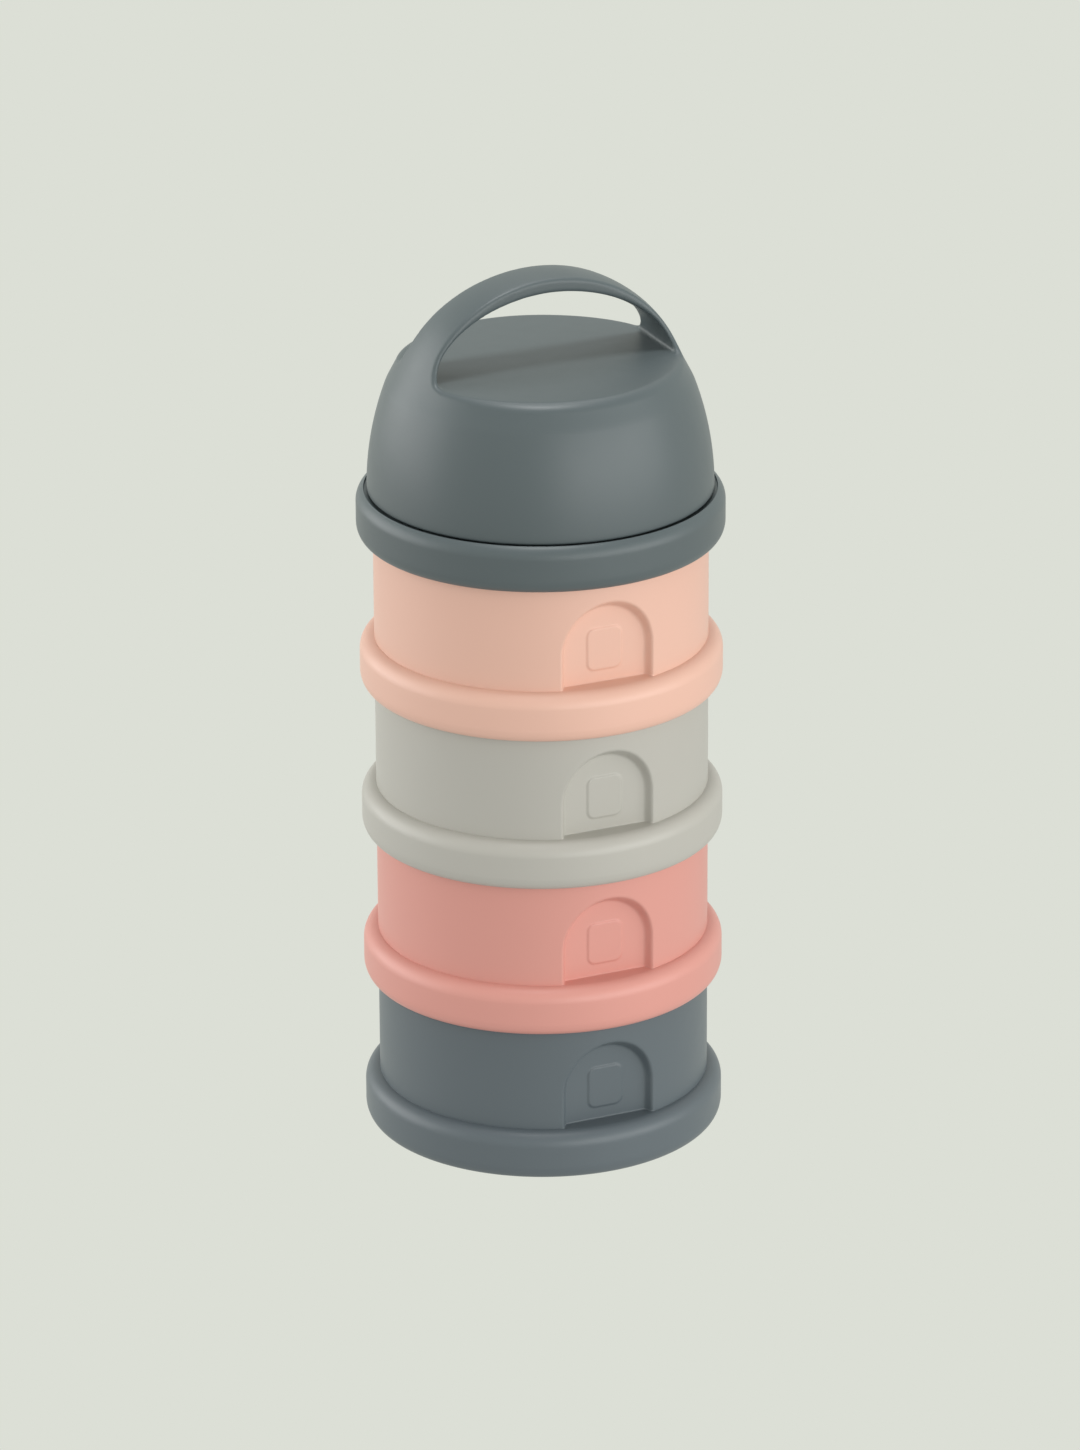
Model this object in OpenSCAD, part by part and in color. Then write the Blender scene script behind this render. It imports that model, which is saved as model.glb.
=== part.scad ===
// Stackable milk-powder dispenser: four screw-together cups, a pouring funnel
// and a screw cap with an integral carry handle. Millimetres, +Z up, origin at
// the centre of the bottom rim. The handle runs along X and the label windows
// face -Y.

/* [Stack] */
// Height from one cup's rim bead to the next
pitch = 39.75; // [36:0.25:44]
// Radius of the cups' straight outer wall
wall_r = 42.3; // [41.5:0.1:42.6]
// Radius inside the cups
cup_r = 40.2; // [39.8:0.1:40.4]
// Radius of the rim bead round each cup
bead_r = 46; // [45.6:0.1:48]
// Radius of the rim bead round the funnel
funnel_bead_r = 46.5; // [46:0.1:48]
// Radius of the rounding where a bead's top meets the wall
bead_top_round = 3.9; // [3:0.1:4.2]
// Height at which that rounding starts
bead_side_top = 8.7; // [8:0.1:9.5]

/* [Thread] */
// Outer radius of a cup's threaded neck
neck_r = 41.6; // [41.4:0.1:41.8]
// Radius inside the socket that screws over a neck
bore_r = 43; // [42.9:0.05:43.1]
// Rise of a thread lug in one full turn
lead = 18; // [12:1:18]
// Angle that each thread lug spans
lug_span = 60; // [40:5:70]
// Number of thread starts
starts = 3; // [2:1:3]
// Height of a lug where it meets its wall
lug_h = 1.2; // [0.8:0.1:1.3]
// Gap between a male lug and the female lug under it
lug_gap = 0.15; // [0.1:0.05:0.3]

/* [Window] */
// Radius of the arched window's round top
arch_r = 11.1; // [10:0.1:14]
// Height of the arch's centre above the cup's rim
arch_z = 21.5; // [20:0.5:25]
// Distance of the window's flat face from the axis
window_y = 38.3; // [38:0.1:40]
// Height of the ledge at the window's foot
ledge_z = 12.6; // [12.6:0.1:14]
// Slope of the window's sides, from the flat face's normal
window_draft = 30; // [10:1:45]
// Width of the blank label pad
pad_w = 9.4; // [8:0.2:14]
// Height of the blank label pad
pad_h = 11; // [8:0.5:14]
// How far the pad stands out of the window's face
pad_out = 0.35; // [0.2:0.05:0.6]

/* [Funnel] */
// Radius inside the spout
spout_in_r = 8.4; // [6:0.2:10]
// Outer radius of the spout
spout_r = 10; // [9:0.1:12]
// Height of the spout's tip above the funnel's rim
spout_top = 38.5; // [34:0.5:40]
// Outer radius of the neck that takes the cap
cap_neck_r = 40.8; // [40.6:0.1:41]

/* [Cap] */
// Radius of the cap at its lower edge
dome_r = 43.7; // [43.2:0.1:44]
// Radius of the cap wall's curve, seen from the side
dome_curve = 78; // [70:1:90]
// Height of the flat top above the cap's lower edge
platform_h = 33.7; // [33:0.05:36]
// Rounding between the cap's wall and its flat top
platform_round = 1.6; // [1:0.1:6]
// Height of the handle's top above the cap's lower edge
handle_h = 56.4; // [54:0.2:60]
// Thickness of the handle at its top
handle_t = 4; // [3:0.1:6]
// Half the handle's width at its top
handle_w = 6.2; // [5:0.1:9]
// Half the handle's width where its feet start to spread
handle_side_w = 7.8; // [7:0.1:10]
// Half the handle's width at its feet
handle_foot_w = 12; // [10:0.5:15]

/* [Hidden] */
$fn = 96;

SLATE = [0.42, 0.46, 0.46];
CORAL = [0.85, 0.60, 0.55];
GREY = [0.72, 0.72, 0.67];
PEACH = [0.91, 0.75, 0.66];
SILICONE = [0.87, 0.87, 0.84];

ceiling_z = 8.6;                 // roof of every socket
seal_t = 1.4;                    // thickness of every seal
neck_h = ceiling_z - seal_t;     // how far a neck reaches into a socket
shoulder_z = 0.6;                // a cup's wall ends this far inside the socket
floor_t = 1.9;                   // thickness of a cup's floor
floor_round = 3;                 // rounding between a cup's floor and wall
bead_foot = [2.4, 3.5];          // half-ellipse under a bead: across, up
lip_land_z = 11.3;               // face on the funnel under the cap's edge
lip_r = 44.5;                    // where the funnel's bead meets that face
cap_z = 12;                      // the cap's edge above the funnel's rim
cap_neck_top = 19;               // top of the neck that takes the cap
cap_bore_r = 41.75;              // radius inside the cap's thread
cap_ledge_r = 39.8;              // inside radius above the cap's seal
wall_t = 2.1;                    // thickness of the cap's wall
platform_t = 2.2;                // thickness of the cap's flat top
female_z = 0.9;                  // foot of a socket's lugs above its rim
male_z = female_z + lug_h + lug_gap;
funnel_z = 4 * pitch;            // the funnel's rim above the base
handle_root_h = 25;              // centre height of the handle's elliptical arch
handle_r = 36.8;                 // half the arch's width at that height
gap_curve = 1.9;                 // how square the finger gap is, 2 is an ellipse
gap_root_h = 33;                 // centre height of the finger gap's curve
gap_half = 32.3;                 // half the finger gap's width at that height
spread_x = 30;                   // the handle's feet spread beyond this distance
spread_end_x = 35.5;             // and reach their full width here

// Points on an ellipse's arc, from angle a to angle b.
function arc(c, r, a, b, n = 10) =
    [for (i = [0 : n]) let (t = a + (b - a) * i / n)
        [c[0] + r[0] * cos(t), c[1] + r[1] * sin(t)]];

// Point on a rounded arch of exponent p, at angle t.
function arch_point(half, rise, p, t) =
    [half * sign(cos(t)) * pow(abs(cos(t)), 2 / p), rise * pow(abs(sin(t)), 2 / p)];

// Outside of a bead, from its foot up to where its top reaches radius end_r.
function bead(r, end_r) =
    concat([[bore_r, 0]],
           arc([r - bead_foot[0], bead_foot[1]], bead_foot, -90, 0),
           arc([r - bead_top_round, bead_side_top], [bead_top_round, bead_top_round], 0,
               acos((end_r - r + bead_top_round) / bead_top_round)));

// One helical thread lug between two radii, its foot at height z.
module lug(root_r, tip_r, z) {
    steps = 12;
    shy = 0.25;
    rings = [for (i = [0 : steps])
        let (t = i / steps,
             end = (i == 0 || i == steps) ? 0.6 : 1,
             a = lug_span * t,
             up = z + lead * a / 360,
             tip = root_r + (tip_r - root_r) * end)
        [[root_r, up], [tip, up + shy], [tip, up + lug_h - shy], [root_r, up + lug_h], a]];
    points = [for (q = rings) for (k = [0 : 3])
        [q[k][0] * cos(q[4]), q[k][0] * sin(q[4]), q[k][1]]];
    outward = tip_r > root_r;
    sides = [for (i = [0 : steps - 1]) for (k = [0 : 3])
        let (a = 4 * i + k, b = 4 * i + (k + 1) % 4, c = a + 4, d = b + 4)
        each [[a, c, b], [b, c, d]]];
    ends = [[0, 1, 2], [0, 2, 3],
            [4 * steps + 2, 4 * steps + 1, 4 * steps], [4 * steps + 3, 4 * steps + 2, 4 * steps]];
    faces = concat(sides, ends);
    polyhedron(points, outward ? [for (f = faces) [f[2], f[1], f[0]]] : faces);
}

module lugs(root_r, tip_r, z) {
    for (i = [0 : starts - 1])
        rotate([0, 0, 360 / starts * i]) lug(root_r, tip_r, z);
}

// The cut that makes the arched window.
module window_cut() {
    deep = 6;
    flare = deep * tan(window_draft);
    translate([0, -window_y, arch_z]) rotate([90, 0, 0])
        cylinder(r1 = arch_r, r2 = arch_r + flare, h = deep);
    translate([0, 0, ledge_z]) linear_extrude(arch_z - ledge_z)
        polygon([[-arch_r, -window_y], [-arch_r - flare, -window_y - deep],
                 [arch_r + flare, -window_y - deep], [arch_r, -window_y]]);
}

// Flat thickening behind the window, inside the cup.
module window_back() {
    back_t = 1.9;
    floor_z = ceiling_z + floor_t;
    top_z = arch_z + arch_r + 2.8;
    translate([0, 0, floor_z - 0.5]) intersection() {
        cylinder(r = cup_r + 0.5, h = top_z - floor_z + 0.5);
        translate([-20, -wall_r, 0]) cube([40, wall_r - window_y + back_t, top_z]);
    }
}

// Blank rounded pad on the window's face.
module label_pad() {
    pad_round = 2;
    sunk = 0.4;
    pad_z = 21.4;
    translate([0, sunk - window_y, pad_z]) rotate([90, 0, 0]) linear_extrude(pad_out + sunk) {
        square([pad_w - 2 * pad_round, pad_h], center = true);
        square([pad_w, pad_h - 2 * pad_round], center = true);
        for (x = [-1, 1], y = [-1, 1])
            translate([x * (pad_w / 2 - pad_round), y * (pad_h / 2 - pad_round)])
                circle(r = pad_round, $fn = 32);
    }
}

module cup() {
    floor_z = ceiling_z + floor_t;
    rim_z = pitch + neck_h;
    profile = concat(
        bead(bead_r, wall_r),
        [[wall_r, pitch + shoulder_z], [neck_r, pitch + shoulder_z],
         [neck_r, rim_z - 0.3], [neck_r - 0.3, rim_z], [cup_r, rim_z]],
        arc([cup_r - floor_round, floor_z + floor_round], [floor_round, floor_round], 0, -90, 6),
        [[0, floor_z], [0, ceiling_z], [bore_r, ceiling_z]]);
    difference() {
        union() {
            rotate_extrude() polygon(profile);
            window_back();
        }
        window_cut();
    }
    label_pad();
    lugs(bore_r + 0.4, neck_r + 0.25, female_z);
    translate([0, 0, pitch]) lugs(neck_r - 0.4, bore_r - 0.3, male_z);
}

// A flat gasket ring with its foot at height 0.
module seal(inner_r, outer_r) {
    soft = 0.3;
    rotate_extrude() polygon([
        [inner_r + soft, 0], [outer_r - soft, 0], [outer_r, soft], [outer_r, seal_t - soft],
        [outer_r - soft, seal_t], [inner_r + soft, seal_t], [inner_r, seal_t - soft],
        [inner_r, soft]]);
}

module cup_seal() {
    seal(cup_r - 0.4, bore_r - 0.3);
}

module compartment_slate() {
    color(SLATE) cup();
}

module seal_coral() {
    color(SILICONE) translate([0, 0, pitch + neck_h]) cup_seal();
}

module compartment_coral() {
    color(CORAL) translate([0, 0, pitch]) cup();
}

module seal_grey() {
    color(SILICONE) translate([0, 0, 2 * pitch + neck_h]) cup_seal();
}

module compartment_grey() {
    color(GREY) translate([0, 0, 2 * pitch]) cup();
}

module seal_peach() {
    color(SILICONE) translate([0, 0, 3 * pitch + neck_h]) cup_seal();
}

module compartment_peach() {
    color(PEACH) translate([0, 0, 3 * pitch]) cup();
}

module seal_funnel() {
    color(SILICONE) translate([0, 0, funnel_z + neck_h]) cup_seal();
}

module pour_funnel() {
    neck_in_r = cap_neck_r - 1.6;
    plate_z = ceiling_z + 1.8;
    cone_r = 38.4;
    cone_top_z = 27;
    cone_rise = (cone_top_z - ceiling_z) / (cone_r - spout_in_r);
    cone_t = 1.9;
    profile = concat(
        bead(funnel_bead_r, lip_r),
        [[lip_r, lip_land_z], [cap_neck_r, lip_land_z], [cap_neck_r, cap_neck_top - 0.3],
         [cap_neck_r - 0.3, cap_neck_top], [neck_in_r, cap_neck_top], [neck_in_r, plate_z],
         [cone_r + (ceiling_z + cone_t - plate_z) / cone_rise, plate_z],
         [spout_r, ceiling_z + cone_t + (cone_r - spout_r) * cone_rise],
         [spout_r, spout_top - 0.4], [spout_r - 0.4, spout_top], [spout_in_r, spout_top],
         [spout_in_r, cone_top_z], [cone_r, ceiling_z], [bore_r, ceiling_z]]);
    color(SLATE) translate([0, 0, funnel_z]) {
        rotate_extrude() polygon(profile);
        lugs(bore_r + 0.4, neck_r + 0.25, female_z);
        translate([0, 0, cap_z - 0.5])
            lugs(cap_neck_r - 0.4, cap_bore_r - 0.25, male_z);
    }
}

module seal_cap() {
    color(SILICONE) translate([0, 0, funnel_z + cap_neck_top])
        seal(cap_neck_r - 1.8, cap_bore_r - 0.25);
}

// The cap's outer wall and flat top, as a solid with its foot at height 0.
module dome() {
    turn = dome_r - dome_curve;
    edge_z = platform_h - platform_round;
    edge_r = turn + sqrt(pow(dome_curve - platform_round, 2) - pow(edge_z, 2));
    edge_a = atan2(edge_z, edge_r - turn);
    rotate_extrude() polygon(concat(
        [[0, 0], [dome_r - 0.3, 0]],
        arc([turn, 0], [dome_curve, dome_curve], 0.25, edge_a, 16),
        arc([edge_r, edge_z], [platform_round, platform_round], edge_a, 90, 8),
        [[0, platform_h]]));
}

// The space inside the cap.
module dome_hollow() {
    turn = dome_r - dome_curve;
    inner = dome_curve - wall_t;
    ledge_h = cap_neck_top + seal_t - cap_z;
    corner = 2.6;
    edge_z = platform_h - platform_t - corner;
    edge_r = turn + sqrt(pow(inner - corner, 2) - pow(edge_z, 2));
    edge_a = atan2(edge_z, edge_r - turn);
    ledge_a = acos((cap_ledge_r - turn) / inner);
    rotate_extrude() polygon(concat(
        [[0, -1], [cap_bore_r, -1], [cap_bore_r, ledge_h], [cap_ledge_r, ledge_h]],
        arc([turn, 0], [inner, inner], ledge_a, edge_a, 12),
        arc([edge_r, edge_z], [corner, corner], edge_a, 90, 6),
        [[0, platform_h - platform_t]]));
}

// The handle: a band cut from a full dome, with the finger gap under it.
module handle() {
    rise = handle_h - handle_root_h;
    gap_rise = handle_h - handle_t - gap_root_h;
    half = 37.5;
    intersection() {
        translate([0, 0, handle_root_h]) rotate_extrude()
            polygon(concat([[0, 0]], arc([0, 0], [handle_r, rise], 0, 90, 24)));
        rotate([90, 0, 0]) linear_extrude(60, center = true) difference() {
            translate([-half, handle_root_h]) square([2 * half, rise + 1]);
            translate([0, gap_root_h]) polygon(concat(
                [for (i = [0 : 36]) arch_point(gap_half, gap_rise, gap_curve, 180 * i / 36)],
                [[-gap_half, -20], [gap_half, -20]]));
        }
        linear_extrude(handle_h + 1) polygon(concat(
            [for (i = [-15 : 15]) [half * i / 15, -band_half(half * i / 15)]],
            [for (i = [15 : -1 : -15]) [half * i / 15, band_half(half * i / 15)]]));
    }
}

// Half the handle's width at a distance x from the middle.
function band_half(x) =
    handle_w + (handle_side_w - handle_w) * pow(x / spread_x, 2)
    + (handle_foot_w - handle_side_w) * pow(max(0, (abs(x) - spread_x) / (spread_end_x - spread_x)), 2);

module cap() {
    color(SLATE) translate([0, 0, funnel_z + cap_z]) {
        difference() {
            union() {
                dome();
                handle();
            }
            dome_hollow();
        }
        translate([0, 0, -0.5]) lugs(cap_bore_r + 0.4, cap_neck_r + 0.2, female_z);
    }
}

compartment_slate();
seal_coral();
compartment_coral();
seal_grey();
compartment_grey();
seal_peach();
compartment_peach();
seal_funnel();
pour_funnel();
seal_cap();
cap();
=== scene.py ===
"""Stackable formula dispenser: four screw-together cups, a pouring funnel and a domed
screw cap with a carry handle, in satin moulded plastic before a pale studio sweep.

Shapes are worked out in millimetres, in the row frame (+Z up, the label windows face -Y),
and become metres when a mesh is made.
"""

import math

import bpy
import numpy as np
from mathutils import Matrix, Vector


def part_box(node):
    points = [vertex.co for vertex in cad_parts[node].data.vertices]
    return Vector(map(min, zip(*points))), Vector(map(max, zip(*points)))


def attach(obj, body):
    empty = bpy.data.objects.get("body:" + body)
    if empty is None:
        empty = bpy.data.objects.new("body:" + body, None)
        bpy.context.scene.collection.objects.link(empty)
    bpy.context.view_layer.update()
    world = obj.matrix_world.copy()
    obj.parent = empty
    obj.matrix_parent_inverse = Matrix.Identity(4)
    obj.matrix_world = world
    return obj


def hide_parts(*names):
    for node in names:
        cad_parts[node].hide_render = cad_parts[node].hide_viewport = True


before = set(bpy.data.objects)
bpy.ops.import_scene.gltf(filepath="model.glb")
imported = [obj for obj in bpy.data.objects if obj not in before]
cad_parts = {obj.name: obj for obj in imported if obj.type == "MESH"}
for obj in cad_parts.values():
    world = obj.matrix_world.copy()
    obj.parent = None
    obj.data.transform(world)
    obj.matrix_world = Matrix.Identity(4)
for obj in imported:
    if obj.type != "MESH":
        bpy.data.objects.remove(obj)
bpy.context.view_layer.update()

MM = 0.001


def low_mm(node):
    """Height of a CAD node's lowest point, in millimetres."""
    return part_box(node)[0].z / MM


def high_mm(node):
    """Height of a CAD node's highest point, in millimetres."""
    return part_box(node)[1].z / MM


# ---------------------------------------------------------------- sizes, as in the CAD
PITCH = low_mm("compartment_coral") - low_mm("compartment_slate")
WALL_R, CUP_R, NECK_R, BORE_R = 42.3, 40.2, 41.6, 43.0
BEAD_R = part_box("compartment_slate")[1].x / MM
FUNNEL_BEAD_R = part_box("pour_funnel")[1].x / MM
BEAD_TOP_ROUND, BEAD_SIDE_TOP = 3.9, 8.7
BEAD_FOOT = (2.4, 3.5)
CEILING_Z, FLOOR_T, SEAL_T = 8.6, 1.9, 1.4
NECK_H = CEILING_Z - SEAL_T
SHOULDER_Z = PITCH + 0.6
FLOOR_ROUND = 3.0
LEAD, LUG_SPAN, STARTS = 18.0, 60.0, 3
LUG_H, LUG_GAP = 1.2, 0.15
FEMALE_Z = 0.9
MALE_Z = FEMALE_Z + LUG_H + LUG_GAP
ARCH_R, ARCH_Z, WINDOW_Y, LEDGE_Z, WINDOW_DRAFT = 11.1, 21.5, 38.3, 12.6, math.radians(30)
WINDOW_BACK_T, WINDOW_BACK_RISE = 1.9, 2.8
EDGE_SOFT, WINDOW_ROUND = 0.4, 0.35
WINDOW_MIN_COS = 0.8  # a window lies where the cosine of the azimuth is above this
PAD_W, PAD_H, PAD_ROUND, PAD_OUT, PAD_Z = 9.4, 11.0, 2.0, 0.35, 21.4
FUNNEL_Z = low_mm("pour_funnel")
LIP_R, LIP_LAND_Z = 44.5, 11.3
CAP_NECK_R, CAP_NECK_TOP = 40.8, 19.0
SPOUT_R, SPOUT_IN_R, SPOUT_TOP = 10.0, 8.4, high_mm("pour_funnel") - FUNNEL_Z
CAP_BORE_R, CAP_LEDGE_R = 41.75, 39.8
CAP_Z = low_mm("cap")
DOME_R, DOME_CURVE, CAP_WALL_T, PLATFORM_T = 43.7, 78.0, 2.1, 2.2
PLATFORM_Z = CAP_Z + 33.7
HANDLE_TOP = high_mm("cap")
HANDLE_R, HANDLE_ROOT_Z = 36.8, CAP_Z + 25.0
HANDLE_HALF_W, HANDLE_SPREAD, FOOT_W, FOOT_H = 6.2, 1.6, 5.0, 8.5
HANDLE_T, GAP_CROWN = 4.6, 1.1
GAP_HALF, GAP_ROOT_Z, GAP_CURVE = 32.3, CAP_Z + 33.0, 1.9


# ---------------------------------------------------------------- mesh making
def make_piece(name, verts, faces, material, body, node):
    """A smooth-shaded mesh piece from millimetre vertices, standing for a CAD node."""
    mesh = bpy.data.meshes.new(name)
    mesh.from_pydata((np.asarray(verts) * MM).tolist(), [], faces)
    mesh.validate()
    mesh.shade_smooth()
    mesh.materials.append(material)
    piece = bpy.data.objects.new(name, mesh)
    bpy.context.scene.collection.objects.link(piece)
    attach(piece, body)
    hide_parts(node)
    return piece


def grid_faces(rows, columns, wrap_rows=False):
    """Quads of a grid that is closed round its columns, and over its rows too if asked."""
    row = np.arange(rows if wrap_rows else rows - 1)[:, None]
    here = np.arange(columns)[None, :]
    beside = (here + 1) % columns
    low, high = row * columns, (row + 1) % rows * columns
    return np.stack([low + here, low + beside, high + beside, high + here], -1).reshape(-1, 4).tolist()


def fan_faces(ring_start, columns, pole, flip):
    """Triangles from a ring of the grid to a single pole vertex."""
    faces = []
    for i in range(columns):
        a, b = ring_start + i, ring_start + (i + 1) % columns
        faces.append([b, a, pole] if flip else [a, b, pole])
    return faces


def arc(centre, radii, start, end, count):
    """Points on an ellipse's arc, angles in degrees."""
    t = np.radians(np.linspace(start, end, count))
    return np.stack([centre[0] + radii[0] * np.cos(t), centre[1] + radii[1] * np.sin(t)], 1)


def rounded(points, radius, count=5):
    """The corner points of a path, each given as (r, z) or (r, z, own radius), rounded off."""
    path = []
    for i, point in enumerate(points):
        own = point[2] if len(point) > 2 else radius
        here = np.array(point[:2], float)
        if i in (0, len(points) - 1) or own == 0:
            path.append(here)
            continue
        before = np.array(points[i - 1][:2], float) - here
        after = np.array(points[i + 1][:2], float) - here
        to_before, to_after = before / np.linalg.norm(before), after / np.linalg.norm(after)
        half = math.acos(float(np.clip(to_before @ to_after, -1, 1))) / 2
        if half > math.radians(88):
            path.append(here)
            continue
        reach = min(own / math.tan(half), 0.45 * np.linalg.norm(before), 0.45 * np.linalg.norm(after))
        size = reach * math.tan(half)
        middle = to_before + to_after
        centre = here + middle / np.linalg.norm(middle) * size / math.sin(half)
        first, last = here + to_before * reach - centre, here + to_after * reach - centre
        turn = math.atan2(first[0] * last[1] - first[1] * last[0], float(first @ last))
        for k in range(count + 1):
            c, s = math.cos(turn * k / count), math.sin(turn * k / count)
            path.append(centre + np.array([c * first[0] - s * first[1], s * first[0] + c * first[1]]))
    return np.array(path)


def resampled(path, longest):
    """The path with its long stretches cut up so that no step is longer than asked."""
    points = [path[0]]
    for a, b in zip(path[:-1], path[1:]):
        count = max(1, int(math.ceil(np.linalg.norm(b - a) / longest)))
        points += [a + (b - a) * k / count for k in range(1, count + 1)]
    return np.array(points)


def smooth_max(a, b, r):
    """Larger of two distances, with a round of radius r where they cross."""
    a, b = np.broadcast_arrays(a, b)
    outside = np.hypot(np.maximum(a + r, 0), np.maximum(b + r, 0))
    return np.minimum(-r, np.maximum(a, b)) + outside


def smooth_min(a, b, r):
    """Smaller of two distances, with a fillet of radius r where they cross."""
    return -smooth_max(-a, -b, r)


def smooth_step(t):
    """0 below 0, 1 above 1 and an S-curve between."""
    t = np.clip(t, 0, 1)
    return t * t * (3 - 2 * t)


# ---------------------------------------------------------------- threads
def lug_height(angle, z, foot_z):
    """From 0 to 1, how far a thread lug stands out at these angles (radians) and heights."""
    span = math.radians(LUG_SPAN)
    turn = np.mod(angle, 2 * math.pi / STARTS)
    middle = foot_z + LUG_H / 2 + LEAD * turn / (2 * math.pi)
    flank = smooth_step((LUG_H / 2 + 0.05 - np.abs(z - middle)) / 0.35)
    ends = smooth_step(np.minimum(turn, span - turn) / math.radians(4))
    return flank * ends


# ---------------------------------------------------------------- a cup
def cup_columns():
    """Azimuths of a cup's columns, measured from the window's middle and dense across it."""
    dense = np.radians(np.linspace(-22, 22, 117))
    coarse = np.radians(np.linspace(22, 338, 163)[1:-1])
    return np.concatenate([dense, coarse])


def window_cut(x, depth, z):
    """Signed distance to the window's cutting shape, negative inside it. depth is along -Y."""
    round_top = np.hypot(x, z - ARCH_Z) - ARCH_R
    outline = np.where(z > ARCH_Z, round_top, np.abs(x) - ARCH_R)
    side = (outline - (depth - WINDOW_Y) * math.tan(WINDOW_DRAFT)) * math.cos(WINDOW_DRAFT)
    cut = smooth_max(side, WINDOW_Y - depth, WINDOW_ROUND)
    return smooth_max(cut, LEDGE_Z - z, WINDOW_ROUND)


def cut_window(azimuth, path):
    """How far inward the window's surface lies from the wall, at each path point and azimuth."""
    r, z = path[:, 0][:, None], path[:, 1][:, None]
    sin_a, cos_a = np.sin(azimuth)[None, :], np.cos(azimuth)[None, :]
    near = np.zeros((len(path), len(azimuth)))
    far = np.full_like(near, 7.0)
    for _ in range(24):
        t = (near + far) / 2
        kept = smooth_max(-t, -window_cut((r - t) * sin_a, (r - t) * cos_a, z), EDGE_SOFT)
        near = np.where(kept > 0, t, near)
        far = np.where(kept > 0, far, t)
    start = smooth_max(0 * near, -window_cut(r * sin_a, r * cos_a, z), EDGE_SOFT)
    return np.where((start > 1e-4) & (cos_a > WINDOW_MIN_COS), (near + far) / 2, 0)


def pad_rise(x, z):
    """How far the blank label pad stands out at these places on the window's face."""
    ax = np.abs(x) - PAD_W / 2 + PAD_ROUND
    az = np.abs(z - PAD_Z) - PAD_H / 2 + PAD_ROUND
    outline = np.hypot(np.maximum(ax, 0), np.maximum(az, 0)) + np.minimum(np.maximum(ax, az), 0)
    outline = outline - PAD_ROUND
    return PAD_OUT * smooth_step(0.5 - outline / 0.5)


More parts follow.
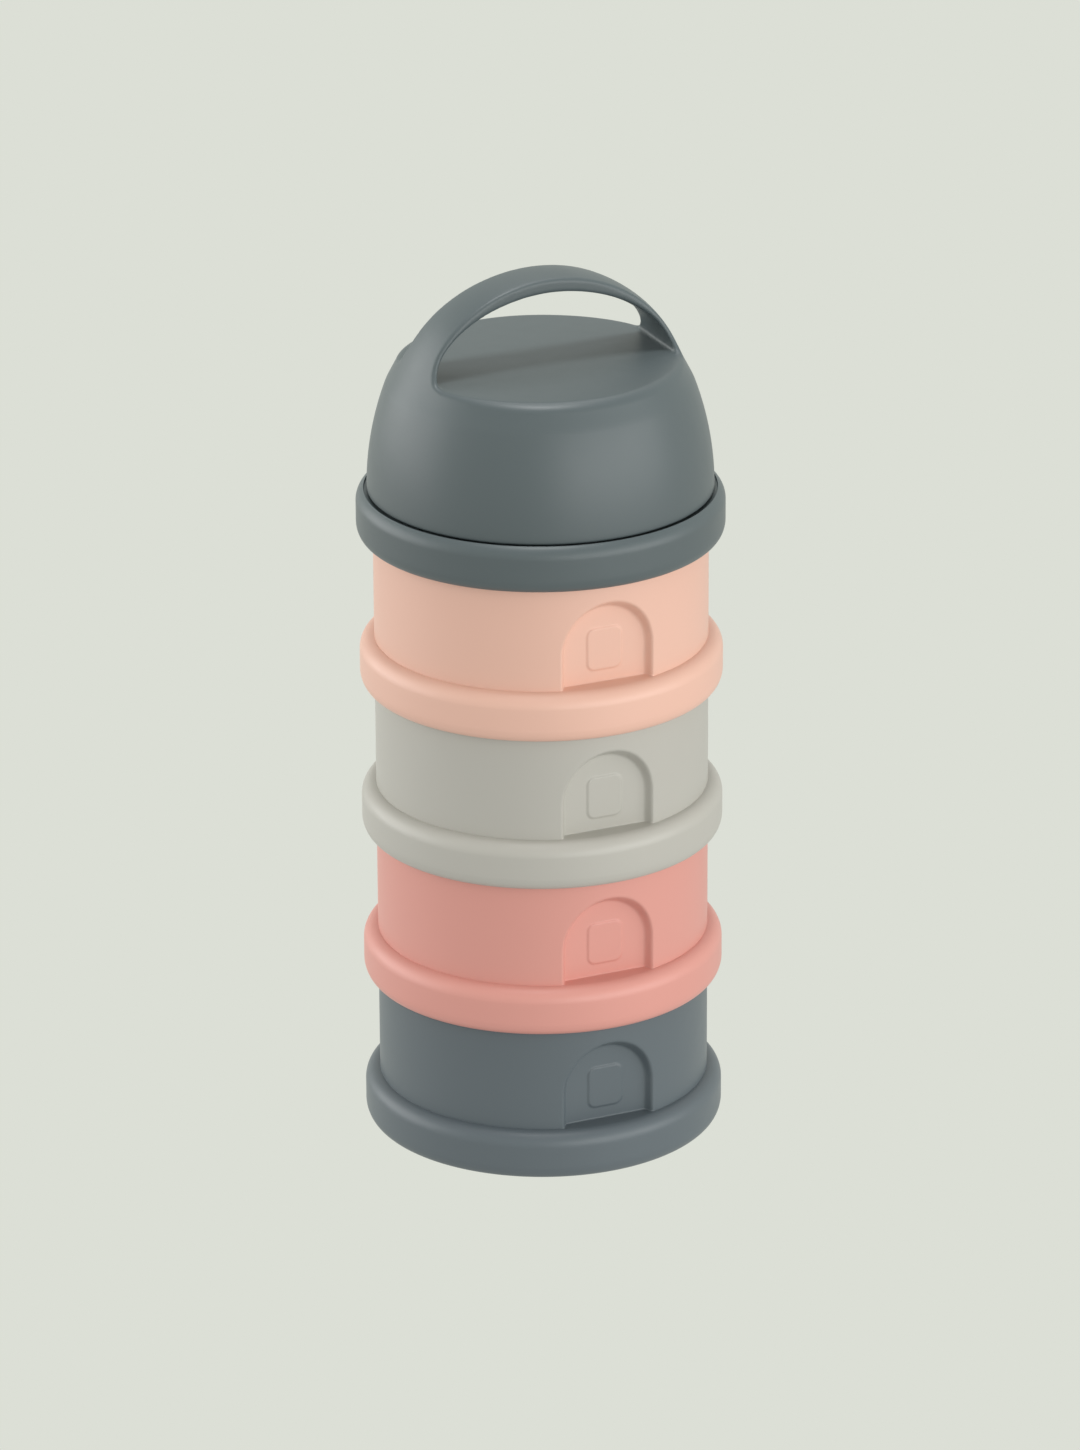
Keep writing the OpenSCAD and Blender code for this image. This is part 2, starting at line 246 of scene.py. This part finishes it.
def cup_shell():
    """Vertices and faces of one cup, standing with its rim at height 0."""
    azimuth = cup_columns()
    columns = len(azimuth)
    sin_a, cos_a = np.sin(azimuth)[None, :], np.cos(azimuth)[None, :]
    floor_z = CEILING_Z + FLOOR_T
    rim_z = PITCH + NECK_H
    top_c = (BEAD_R - BEAD_TOP_ROUND, BEAD_SIDE_TOP)
    crease_a = math.degrees(math.acos((WALL_R - top_c[0]) / BEAD_TOP_ROUND))

    under = resampled(rounded([(1.5, CEILING_Z), (BORE_R, CEILING_Z, 0.5), (BORE_R, 0.0, 0.25),
                               (BEAD_R - BEAD_FOOT[0] + 0.1, 0.0, 0)], 0.3), 6)
    bore_rows = np.linspace(CEILING_Z - 0.7, 0.4, 38)
    off_bore = (under[:, 0] < BORE_R - 1e-6) | (under[:, 1] > bore_rows[0]) | (under[:, 1] < bore_rows[-1])
    under = under[off_bore]
    cut_at = int(np.argmax(under[:, 1] < bore_rows[-1]))
    bore = np.stack([np.full(len(bore_rows), BORE_R), bore_rows], 1)
    foot = arc((BEAD_R - BEAD_FOOT[0], BEAD_FOOT[1]), BEAD_FOOT, -84, 0, 12)
    side = np.array([[BEAD_R, z] for z in (5.2, 7.0)])
    top = arc(top_c, (BEAD_TOP_ROUND, BEAD_TOP_ROUND), 0, crease_a - 10, 20)
    blend = arc(top_c, (BEAD_TOP_ROUND, BEAD_TOP_ROUND), crease_a - 9, crease_a - 0.5, 14)
    crease_z = blend[-1][1]
    shares = np.array([0.2, 0.45, 0.7, 0.88])
    ledge = np.stack([np.full(len(shares), WALL_R), crease_z + 0.012 * np.arange(1, 5)], 1)
    low_wall = np.stack([np.full(22, WALL_R), crease_z + 0.07 + 3.2 * np.linspace(0, 1, 22) ** 1.8], 1)
    wall = np.stack([np.full(92, WALL_R), np.linspace(low_wall[-1][1] + 0.25, 38.5, 92)], 1)
    shoulder = resampled(rounded([(WALL_R, 39.2), (WALL_R, SHOULDER_Z, 0.2), (NECK_R, SHOULDER_Z, 0.2),
                                  (NECK_R, PITCH + 1.2)], 0.2, 3), 1)
    neck = np.stack([np.full(32, NECK_R), np.linspace(PITCH + 1.3, rim_z - 0.5, 32)], 1)
    rim = rounded([(NECK_R, rim_z - 0.4), (NECK_R, rim_z, 0.35), (CUP_R, rim_z, 0.35),
                   (CUP_R, rim_z - 1.0)], 0.3, 4)
    back_top = ARCH_Z + ARCH_R + WINDOW_BACK_RISE
    inside = np.stack([np.full(40, CUP_R), np.concatenate([
        np.linspace(rim_z - 2, back_top + 1.6, 6), np.linspace(back_top + 1.2, back_top - 1.2, 10),
        np.linspace(back_top - 2.5, floor_z + FLOOR_ROUND + 0.5, 24)])], 1)
    bottom = arc((CUP_R - FLOOR_ROUND, floor_z + FLOOR_ROUND), (FLOOR_ROUND, FLOOR_ROUND), 0, -90, 10)
    disc = np.array([[r, floor_z] for r in (33, 28, 22, 15, 8, 1.5)])

    parts = [("under", under[:cut_at]), ("bore", bore), ("lip", under[cut_at:]), ("plain", foot),
             ("plain", side), ("plain", top), ("plain", blend), ("ledge", ledge), ("window", low_wall),
             ("window", wall), ("plain", shoulder), ("neck", neck), ("plain", rim),
             ("inside", inside), ("inside", bottom), ("inside", disc)]
    rings_r, rings_z, lift = [], [], []
    for kind, path in parts:
        r = np.repeat(path[:, 0][:, None], columns, 1)
        z = np.repeat(path[:, 1][:, None], columns, 1)
        if kind == "window":
            r = r - cut_window(azimuth, path)
        if kind == "ledge":
            r = r - shares[:, None] * cut_window(azimuth, low_wall[:1])
        out = np.zeros_like(r)
        if kind == "window":
            face = np.abs(r * cos_a - WINDOW_Y) < 0.05
            out = np.where(face & (cos_a > WINDOW_MIN_COS), pad_rise(r * sin_a, z), 0)
        turn = azimuth[None, :] - math.pi / 2
        if kind == "bore":
            r = r - (BORE_R - NECK_R - 0.25) * lug_height(turn, z, FEMALE_Z)
        if kind == "neck":
            r = r + (BORE_R - 0.3 - NECK_R) * lug_height(turn, z - PITCH, MALE_Z)
        if kind == "inside":
            flat = (WINDOW_Y - WINDOW_BACK_T) / np.maximum(cos_a, 0.5)
            thick = CUP_R - smooth_min(np.full_like(flat, CUP_R), flat, 1.5)
            share = smooth_step((back_top + 0.6 - z) / 1.2) * np.clip(r / (CUP_R - FLOOR_ROUND), 0, 1)
            r = r - np.where(cos_a > WINDOW_MIN_COS, thick, 0) * share
        rings_r.append(r)
        rings_z.append(z)
        lift.append(out)
    r, z, out = np.concatenate(rings_r), np.concatenate(rings_z), np.concatenate(lift)
    verts = np.stack([r * sin_a, -r * cos_a - out, z], -1).reshape(-1, 3)
    rows = len(r)
    low_pole, high_pole = len(verts), len(verts) + 1
    verts = np.concatenate([verts, [[0, 0, CEILING_Z], [0, 0, floor_z]]])
    faces = grid_faces(rows, columns)
    faces += fan_faces(0, columns, low_pole, True)
    faces += fan_faces((rows - 1) * columns, columns, high_pole, False)
    return verts, faces


# ---------------------------------------------------------------- lathed pieces
def lathe(paths, columns, closed=False):
    """Vertices and faces of a lathed piece, from its paths in order, as (thread, points).

    A thread is (reach, foot height) of the lugs on that path, or None where there are none.
    """
    azimuth = np.linspace(0, 2 * math.pi, columns, endpoint=False)
    rings_r, rings_z = [], []
    for thread, path in paths:
        r = np.repeat(path[:, 0][:, None], columns, 1)
        z = np.repeat(path[:, 1][:, None], columns, 1)
        if thread:
            reach, foot_z = thread
            r = r + reach * lug_height(azimuth[None, :] - math.pi / 2, z, foot_z)
        rings_r.append(r)
        rings_z.append(z)
    r, z = np.concatenate(rings_r), np.concatenate(rings_z)
    verts = np.stack([r * np.sin(azimuth), -r * np.cos(azimuth), z], -1).reshape(-1, 3)
    faces = grid_faces(len(r), columns, closed)
    return verts, faces


def funnel_shell():
    """Vertices and faces of the pouring funnel, its rim at height 0."""
    neck_in_r, plate_z = CAP_NECK_R - 1.6, CEILING_Z + 1.8
    cone_r, cone_top_z, cone_t = 38.4, 27.0, 1.9
    cone_rise = (cone_top_z - CEILING_Z) / (cone_r - SPOUT_IN_R)
    top_c = (FUNNEL_BEAD_R - BEAD_TOP_ROUND, BEAD_SIDE_TOP)
    lip_a = math.degrees(math.acos((LIP_R - top_c[0]) / BEAD_TOP_ROUND))
    cone_out_z = CEILING_Z + cone_t + (cone_r - SPOUT_R) * cone_rise
    plate_r = cone_r + (CEILING_Z + cone_t - plate_z) / cone_rise

    socket = rounded([(BORE_R - 2, CEILING_Z), (BORE_R, CEILING_Z, 0.5), (BORE_R, CEILING_Z - 0.8)], 0.5)
    bore = np.stack([np.full(30, BORE_R), np.linspace(CEILING_Z - 0.9, 0.4, 30)], 1)
    lip = rounded([(BORE_R, 0.35), (BORE_R, 0.0, 0.25), (FUNNEL_BEAD_R - BEAD_FOOT[0] + 0.1, 0.0)], 0.25)
    foot = arc((FUNNEL_BEAD_R - BEAD_FOOT[0], BEAD_FOOT[1]), BEAD_FOOT, -84, 0, 12)
    side = np.array([[FUNNEL_BEAD_R, z] for z in (5.2, 7.0)])
    top = arc(top_c, (BEAD_TOP_ROUND, BEAD_TOP_ROUND), 0, lip_a - 4, 20)
    lip_z = BEAD_SIDE_TOP + BEAD_TOP_ROUND * math.sin(math.radians(lip_a))
    step = resampled(rounded([(LIP_R + 0.2, lip_z - 0.09), (LIP_R, lip_z, 0.15), (LIP_R, LIP_LAND_Z, 0.15),
                              (CAP_NECK_R, LIP_LAND_Z, 0.3), (CAP_NECK_R, LIP_LAND_Z + 0.8)], 0.15, 3), 1.2)
    neck = np.stack([np.full(36, CAP_NECK_R), np.linspace(LIP_LAND_Z + 1.0, CAP_NECK_TOP - 0.6, 36)], 1)
    inner = resampled(rounded([
        (CAP_NECK_R, CAP_NECK_TOP - 0.5), (CAP_NECK_R, CAP_NECK_TOP, 0.35), (neck_in_r, CAP_NECK_TOP, 0.35),
        (neck_in_r, plate_z, 0.6), (plate_r, plate_z, 0.5), (SPOUT_R, cone_out_z, 2.5),
        (SPOUT_R, SPOUT_TOP, 0.6), (SPOUT_IN_R, SPOUT_TOP, 0.6), (SPOUT_IN_R, cone_top_z, 2.0),
        (cone_r, CEILING_Z, 0.8), (BORE_R - 2.3, CEILING_Z)], 0.4), 2.5)
    female = (NECK_R + 0.25 - BORE_R, FEMALE_Z)
    male = (CAP_BORE_R - 0.25 - CAP_NECK_R, CAP_Z - FUNNEL_Z - 0.5 + MALE_Z)
    paths = [(None, socket), (female, bore), (None, lip), (None, foot), (None, side), (None, top),
             (None, step), (male, neck), (None, inner)]
    return lathe(paths, 360, closed=True)


def seal_ring(inner_r, outer_r):
    """Vertices and faces of a flat silicone ring with soft corners, its foot at height 0."""
    flat = rounded([((inner_r + outer_r) / 2, 0), (outer_r, 0), (outer_r, SEAL_T), (inner_r, SEAL_T),
                    (inner_r, 0), ((inner_r + outer_r) / 2 - 0.2, 0)], 0.42, 5)
    return lathe([(None, resampled(flat, 0.7))], 200, closed=True)


# ---------------------------------------------------------------- the cap
def outer_distance(r, z):
    """Signed distance to the cap's outside: the wall's long curve running into the handle's arch."""
    wall = np.hypot(r + DOME_CURVE - DOME_R, z - CAP_Z) - DOME_CURVE
    rise = HANDLE_TOP - HANDLE_ROOT_Z
    up = np.maximum(z - HANDLE_ROOT_Z, 0)
    reach = np.hypot(r / HANDLE_R, up / rise)
    slope = np.maximum(np.hypot(r / HANDLE_R**2, up / rise**2), 1e-6)
    arch = reach * (reach - 1) / slope
    share = smooth_step((z - PLATFORM_Z + 7) / 11)
    return wall * (1 - share) + arch * share


def band_half(x, z):
    """Half the handle's width, which spreads into round feet where it meets the flat top."""
    up = np.clip((z - PLATFORM_Z) / FOOT_H, 0, 1)
    flare = FOOT_W * (1 - np.sqrt(1 - (1 - up) ** 2))
    return HANDLE_HALF_W + HANDLE_SPREAD * (x / 30) ** 2 + flare


def gap_distance(x, y, z):
    """Signed distance to the finger gap, whose roof is crowned across the handle."""
    across = np.minimum(np.abs(y) / 7, 1.3)
    rise = HANDLE_TOP - HANDLE_T - GAP_ROOT_Z + GAP_CROWN * across**2
    up = np.maximum(z - GAP_ROOT_Z, 0)
    total = (np.abs(x) / GAP_HALF) ** GAP_CURVE + (up / rise) ** GAP_CURVE + 1e-9
    reach = total ** (1 / GAP_CURVE)
    slope_x = (np.abs(x) / GAP_HALF) ** (GAP_CURVE - 1) / GAP_HALF
    slope_z = (up / rise) ** (GAP_CURVE - 1) / rise
    slope = total ** (1 / GAP_CURVE - 1) * np.hypot(slope_x, slope_z)
    return (reach - 1) / np.maximum(slope, 0.02)


def cap_distance(x, y, z):
    """Signed distance to the cap's outer surface, negative inside the plastic."""
    outside = outer_distance(np.hypot(x, y), z)
    band = smooth_max(-gap_distance(x, y, z), np.abs(y) - band_half(x, z), 0.55)
    above = smooth_min(z - PLATFORM_Z, band, 1.0)
    edge = 0.8 + 1.2 * smooth_step((np.abs(y) - 13) / 19)
    return smooth_max(outside, above, edge)


def slope_of(field, points):
    """Gradient of a field at some points."""
    e = 0.01
    parts = []
    for axis in range(3):
        shift = np.zeros(3)
        shift[axis] = e
        ahead, behind = points + shift, points - shift
        parts.append((field(*ahead.T) - field(*behind.T)) / (2 * e))
    return np.stack(parts, 1)


def surface_net(field, low, high, step):
    """Vertices and quads on a field's zero surface, one vertex in each crossed cell."""
    axes = [np.arange(a, b + step, step) for a, b in zip(low, high)]
    value = field(*np.meshgrid(*axes, indexing="ij"))
    shape = tuple(len(a) - 1 for a in axes)
    total, number = np.zeros(shape + (3,)), np.zeros(shape)
    crossings = []
    for axis in range(3):
        count = len(axes[axis])
        first = value.take(range(count - 1), axis)
        second = value.take(range(1, count), axis)
        crossed = (first < 0) != (second < 0)
        place = np.where(crossed, first / np.where(crossed, first - second, 1), 0)
        crossings.append((crossed, first < 0))
        b, c = (axis + 1) % 3, (axis + 2) % 3
        for db in (0, 1):
            for dc in (0, 1):
                part = [slice(None)] * 3
                part[b], part[c] = slice(db, db + shape[b]), slice(dc, dc + shape[c])
                here = crossed[tuple(part)]
                number += here
                total[..., axis] += place[tuple(part)]
                total[..., b] += here * db
                total[..., c] += here * dc
    used = number > 0
    ids = np.full(shape, -1)
    ids[used] = np.arange(used.sum())
    cells = np.argwhere(used)
    verts = np.array(low) + step * (cells + total[used] / number[used][:, None])
    quads = []
    for axis in range(3):
        crossed, rising = crossings[axis]
        b, c = (axis + 1) % 3, (axis + 2) % 3
        where = np.argwhere(crossed)
        b_at, c_at = where[:, b], where[:, c]
        where = where[(b_at > 0) & (b_at < shape[b]) & (c_at > 0) & (c_at < shape[c])]
        corners = []
        for db, dc in ((1, 1), (0, 1), (0, 0), (1, 0)):
            cell = where.copy()
            cell[:, b] -= db
            cell[:, c] -= dc
            corners.append(ids[tuple(cell.T)])
        quad = np.stack(corners, 1)
        out = rising[tuple(where.T)]
        quads.append(np.where(out[:, None], quad, quad[:, ::-1]))
    return verts, np.concatenate(quads)


def settle(verts, edges, fixed, field, rounds):
    """Vertices evened out along the surface and pulled back onto it."""
    a, b = edges.T
    degree = np.bincount(np.concatenate([a, b]), minlength=len(verts))[:, None]
    for _ in range(rounds):
        total = np.zeros_like(verts)
        np.add.at(total, a, verts[b])
        np.add.at(total, b, verts[a])
        moved = verts + 0.6 * (total / degree - verts)
        for _ in range(2):
            slope = slope_of(field, moved)
            away = field(*moved.T)[:, None]
            steepness = np.maximum((slope**2).sum(1), 0.2)[:, None]
            moved = moved - np.clip(away, -0.3, 0.3) * slope / steepness
        verts = np.where(fixed[:, None], verts, moved)
    return verts


def cap_top(seam_z):
    """The cap's outer surface above the seam height.

    It comes as vertices, quads, the ids of its open edge counter-clockwise, and their azimuths.
    """
    step = 0.56
    low, high = (-42.2, -42.2, seam_z), (42.3, 42.3, HANDLE_TOP + 1.5)
    verts, quads = surface_net(cap_distance, low, high, step)
    edges = np.concatenate([quads[:, [k, (k + 1) % 4]] for k in range(4)])
    both, index, count = np.unique(np.sort(edges, 1), axis=0, return_index=True, return_counts=True)
    rim = edges[index[count == 1]]
    follows = dict(rim.tolist())
    start = rim[0, 0]
    loop = [int(start)]
    while follows[loop[-1]] != start:
        loop.append(int(follows[loop[-1]]))
    turn = np.unwrap(np.arctan2(verts[loop, 0], -verts[loop, 1]))
    if turn[-1] < turn[0]:
        loop, turn = loop[::-1], turn[::-1]
    for _ in range(30):
        before = np.concatenate([[turn[-1] - 2 * math.pi], turn[:-1]])
        after = np.concatenate([turn[1:], [turn[0] + 2 * math.pi]])
        turn = (before + 2 * turn + after) / 4
    seam_r = DOME_R - DOME_CURVE + math.sqrt(DOME_CURVE**2 - (seam_z - CAP_Z) ** 2)
    seam = [seam_r * np.sin(turn), -seam_r * np.cos(turn), np.full(len(turn), seam_z)]
    verts[loop] = np.stack(seam, 1)
    fixed = np.zeros(len(verts), bool)
    fixed[loop] = True
    verts = settle(verts, both, fixed, cap_distance, 6)
    return verts, quads, np.array(loop), turn


def cap_shell():
    """Vertices and faces of the whole cap, with its handle."""
    seam_z = PLATFORM_Z - 11
    turn_r = DOME_R - DOME_CURVE
    inner = DOME_CURVE - CAP_WALL_T
    ledge_z = FUNNEL_Z + CAP_NECK_TOP + SEAL_T
    corner = 2.6
    edge_h = PLATFORM_Z - PLATFORM_T - corner - CAP_Z
    edge_r = turn_r + math.sqrt((inner - corner) ** 2 - edge_h**2)
    edge_a = math.degrees(math.atan2(edge_h, edge_r - turn_r))
    ledge_a = math.degrees(math.acos((CAP_LEDGE_R - turn_r) / inner))
    ceiling = np.array([[r, PLATFORM_Z - PLATFORM_T] for r in (0.5, 8, 16, 23, 28)])
    shoulder = arc((edge_r, CAP_Z + edge_h), (corner, corner), 90, edge_a, 8)
    wall = arc((turn_r, CAP_Z), (inner, inner), edge_a - 0.8, ledge_a + 0.2, 16)
    ledge = resampled(rounded([(CAP_LEDGE_R, ledge_z + 0.3), (CAP_LEDGE_R, ledge_z, 0.2),
                               (CAP_BORE_R, ledge_z, 0.3), (CAP_BORE_R, ledge_z - 0.5)], 0.2), 1)
    bore = np.stack([np.full(30, CAP_BORE_R), np.linspace(ledge_z - 0.6, CAP_Z + 0.4, 30)], 1)
    foot = rounded([(CAP_BORE_R, CAP_Z + 0.35), (CAP_BORE_R, CAP_Z, 0.2), (DOME_R, CAP_Z, 0.9),
                    (DOME_R - 0.02, CAP_Z + 1.4)], 0.3)
    rise = np.concatenate([np.linspace(1.6, 4, 6), np.linspace(5, seam_z - CAP_Z - 0.8, 16)])
    outside = np.stack([turn_r + np.sqrt(DOME_CURVE**2 - rise**2), CAP_Z + rise], 1)
    female = (CAP_NECK_R + 0.2 - CAP_BORE_R, CAP_Z - 0.5 + FEMALE_Z)
    columns = 300
    verts, faces = lathe([(None, ceiling), (None, shoulder), (None, wall), (None, ledge), (female, bore),
                          (None, foot), (None, outside)], columns)
    pole = len(verts)
    verts = np.concatenate([verts, [[0, 0, PLATFORM_Z - PLATFORM_T]]])
    faces += fan_faces(0, columns, pole, True)
    top_verts, top_quads, loop, turn = cap_top(seam_z)
    base = len(verts)
    faces += (top_quads + base).tolist()
    faces += zipper(pole - columns, columns, (loop + base).tolist(), turn)
    return np.concatenate([verts, top_verts]), faces


def zipper(ring, columns, loop, turn):
    """Triangles between a lathed ring and an open loop above it, both counter-clockwise."""
    shift = int(np.argmin(np.mod(turn, 2 * math.pi)))
    loop = loop[shift:] + loop[:shift]
    upper = np.mod(np.concatenate([turn[shift:], turn[:shift]]), 2 * math.pi)
    upper = np.append(upper, upper[0] + 2 * math.pi)
    lower = np.linspace(0, 2 * math.pi, columns + 1)
    i = j = 0
    faces = []
    while i < columns or j < len(loop):
        low_here, up_here = ring + i % columns, loop[j % len(loop)]
        if j == len(loop) or (i < columns and lower[i + 1] <= upper[j + 1]):
            faces.append([low_here, ring + (i + 1) % columns, up_here])
            i += 1
        else:
            faces.append([low_here, loop[(j + 1) % len(loop)], up_here])
            j += 1
    return faces


# ---------------------------------------------------------------- materials
def moulded(name, colour, roughness=0.42):
    """Satin injection-moulded plastic: faint tone drift, fine eroded-mould grain and roughness drift."""
    material = bpy.data.materials.new(name)
    material.use_nodes = True
    tree = material.node_tree
    shader = tree.nodes["Principled BSDF"]
    place = tree.nodes.new("ShaderNodeTexCoord")

    def noise(scale, detail):
        node = tree.nodes.new("ShaderNodeTexNoise")
        node.inputs["Scale"].default_value = scale
        node.inputs["Detail"].default_value = detail
        tree.links.new(place.outputs["Object"], node.inputs["Vector"])
        return node

    drift = noise(38, 2)
    tone = tree.nodes.new("ShaderNodeMix")
    tone.data_type = "RGBA"
    tone.inputs["A"].default_value = (*[c * 0.985 for c in colour], 1)
    tone.inputs["B"].default_value = (*[min(c * 1.015, 1) for c in colour], 1)
    tree.links.new(drift.outputs["Fac"], tone.inputs["Factor"])
    tree.links.new(tone.outputs["Result"], shader.inputs["Base Color"])

    patch = noise(210, 3)
    gloss = tree.nodes.new("ShaderNodeMapRange")
    gloss.inputs["To Min"].default_value = roughness - 0.03
    gloss.inputs["To Max"].default_value = roughness + 0.03
    tree.links.new(patch.outputs["Fac"], gloss.inputs["Value"])
    tree.links.new(gloss.outputs["Result"], shader.inputs["Roughness"])

    grain = noise(2600, 2)
    bump = tree.nodes.new("ShaderNodeBump")
    bump.inputs["Strength"].default_value = 0.12
    bump.inputs["Distance"].default_value = 0.00002
    tree.links.new(grain.outputs["Fac"], bump.inputs["Height"])
    tree.links.new(bump.outputs["Normal"], shader.inputs["Normal"])

    shader.inputs["IOR"].default_value = 1.49
    return material


SLATE = moulded("slate_plastic", (0.085, 0.108, 0.112))
# the bottom cup's slate is the same slate plastic made lighter: painted light, standing in for lamp light
# that the lamps don't give that cup
SLATE_PAINTED_LIGHT = moulded("slate_plastic_painted_light", (0.107, 0.132, 0.145))
CORAL = moulded("coral_plastic", (0.70, 0.317, 0.262))
GREY = moulded("grey_plastic", (0.468, 0.457, 0.405))
PEACH = moulded("peach_plastic", (0.785, 0.483, 0.372))
SILICONE = moulded("silicone", (0.72, 0.72, 0.68), roughness=0.5)

# ---------------------------------------------------------------- the pieces
cup_verts, cup_faces = cup_shell()
cups = (("slate", SLATE_PAINTED_LIGHT, 0), ("coral", CORAL, 1), ("grey", GREY, 2), ("peach", PEACH, 3))
for colour, material, level in cups:
    lift = np.array([0, 0, level * PITCH])
    make_piece(f"{colour}_cup_shell", cup_verts + lift, cup_faces, material, f"{colour}_cup",
               f"compartment_{colour}")

ring_verts, ring_faces = seal_ring(CUP_R - 0.4, BORE_R - 0.3)
for name in ("coral", "grey", "peach", "funnel"):
    lift = np.array([0, 0, low_mm(f"seal_{name}")])
    make_piece(f"{name}_seal_ring", ring_verts + lift, ring_faces, SILICONE, f"{name}_seal",
               f"seal_{name}")
ring_verts, ring_faces = seal_ring(CAP_NECK_R - 1.8, CAP_BORE_R - 0.25)
make_piece("cap_seal_ring", ring_verts + np.array([0, 0, low_mm("seal_cap")]), ring_faces, SILICONE,
           "cap_seal", "seal_cap")

funnel_verts, funnel_faces = funnel_shell()
make_piece("funnel_shell", funnel_verts + np.array([0, 0, FUNNEL_Z]), funnel_faces, SLATE, "funnel",
           "pour_funnel")
cap_verts, cap_faces = cap_shell()
make_piece("cap_shell", cap_verts, cap_faces, SLATE, "cap", "cap")

# ---------------------------------------------------------------- floor and backdrop
BACKDROP = (0.7157, 0.7379, 0.6724)
FILL = (0.50, 0.50, 0.50)


def pale_sweep():
    """A wide pale floor with a round wall at its rim, evenly lit, which casts nothing on the object."""
    material = bpy.data.materials.new("pale_sweep")
    material.use_nodes = True
    tree = material.node_tree
    tree.nodes.remove(tree.nodes["Principled BSDF"])
    glow = tree.nodes.new("ShaderNodeEmission")
    glow.inputs["Color"].default_value = (*BACKDROP, 1)
    tree.links.new(glow.outputs["Emission"], tree.nodes["Material Output"].inputs["Surface"])
    corners, radius, height = 96, 4.0, 4.0
    turns = np.linspace(0, 2 * math.pi, corners, endpoint=False)
    verts = [(radius * math.cos(a), radius * math.sin(a), z) for z in (-0.0002, height) for a in turns]
    faces = [list(range(corners))]
    faces += [[i, (i + 1) % corners, corners + (i + 1) % corners, corners + i] for i in range(corners)]
    mesh = bpy.data.meshes.new("floor")
    mesh.from_pydata(verts, [], faces)
    mesh.materials.append(material)
    floor = bpy.data.objects.new("floor", mesh)
    bpy.context.scene.collection.objects.link(floor)
    floor.visible_diffuse = floor.visible_shadow = False


pale_sweep()
world = bpy.data.worlds.new("studio")
world.use_nodes = True
world.node_tree.nodes["Background"].inputs["Color"].default_value = (*FILL, 1)
bpy.context.scene.world = world


# ---------------------------------------------------------------- camera and lights
CAMERA_AZIMUTH = math.radians(-24)
CAMERA_ELEVATION = 0.3797
CAMERA_ROLL = -0.0051
CAMERA_TARGET = Vector((0, 0, 0.10615))
CAMERA_DISTANCE = 1.866
FRAME_HEIGHT_PX, FOCAL_PX, CENTRE_SHIFT_PX = 1450, 7336, 1.76
SOFTBOX_DISTANCE = 1.5


def direction(azimuth, elevation):
    """Unit vector from the object towards a place round it, in radians. Azimuth 0 is in front, at -Y."""
    flat = math.cos(elevation)
    return Vector((math.sin(azimuth) * flat, -math.cos(azimuth) * flat, math.sin(elevation)))


def facing(back, right):
    """Rotation whose Z axis is back and whose X axis is right."""
    up = back.cross(right)
    return Matrix((right, up, back)).transposed().to_4x4()


def add_camera():
    """The camera, aimed at the object's middle from its front left and a little above."""
    data = bpy.data.cameras.new("camera")
    data.sensor_fit = "VERTICAL"
    data.sensor_height = 36
    data.lens = FOCAL_PX / FRAME_HEIGHT_PX * data.sensor_height
    data.shift_x = -CENTRE_SHIFT_PX / FRAME_HEIGHT_PX
    data.clip_start, data.clip_end = 0.05, 50
    camera = bpy.data.objects.new("camera", data)
    bpy.context.scene.collection.objects.link(camera)
    back = direction(CAMERA_AZIMUTH, CAMERA_ELEVATION)
    level = Vector((math.cos(CAMERA_AZIMUTH), math.sin(CAMERA_AZIMUTH), 0))
    right = level * math.cos(CAMERA_ROLL) + back.cross(level) * math.sin(CAMERA_ROLL)
    camera.matrix_world = Matrix.Translation(CAMERA_TARGET + back * CAMERA_DISTANCE) @ facing(back, right)
    bpy.context.scene.camera = camera


def softbox(name, azimuth, elevation, size, power):
    """A rectangular light that faces the object. Angles in degrees, azimuth from the camera's side."""
    data = bpy.data.lights.new(name, "AREA")
    data.shape = "RECTANGLE"
    data.size, data.size_y = size
    data.energy = power
    light = bpy.data.objects.new(name, data)
    bpy.context.scene.collection.objects.link(light)
    turn = CAMERA_AZIMUTH + math.radians(azimuth)
    back = direction(turn, math.radians(elevation))
    level = Vector((math.cos(turn), math.sin(turn), 0))
    light.matrix_world = Matrix.Translation(CAMERA_TARGET + back * SOFTBOX_DISTANCE) @ facing(back, level)
    light.visible_camera = False


add_camera()
softbox("right_softbox", 50, 9, (2.35, 0.9), 18.5)
softbox("left_softbox", -102, 10, (1.7, 1.2), 16)
softbox("back_softbox", 175, 62, (0.8, 0.5), 3)
softbox("top_softbox", 0, 87, (0.36, 0.36), 9)

view = bpy.context.scene.view_settings
view.view_transform = "Standard"
view.look = "None"
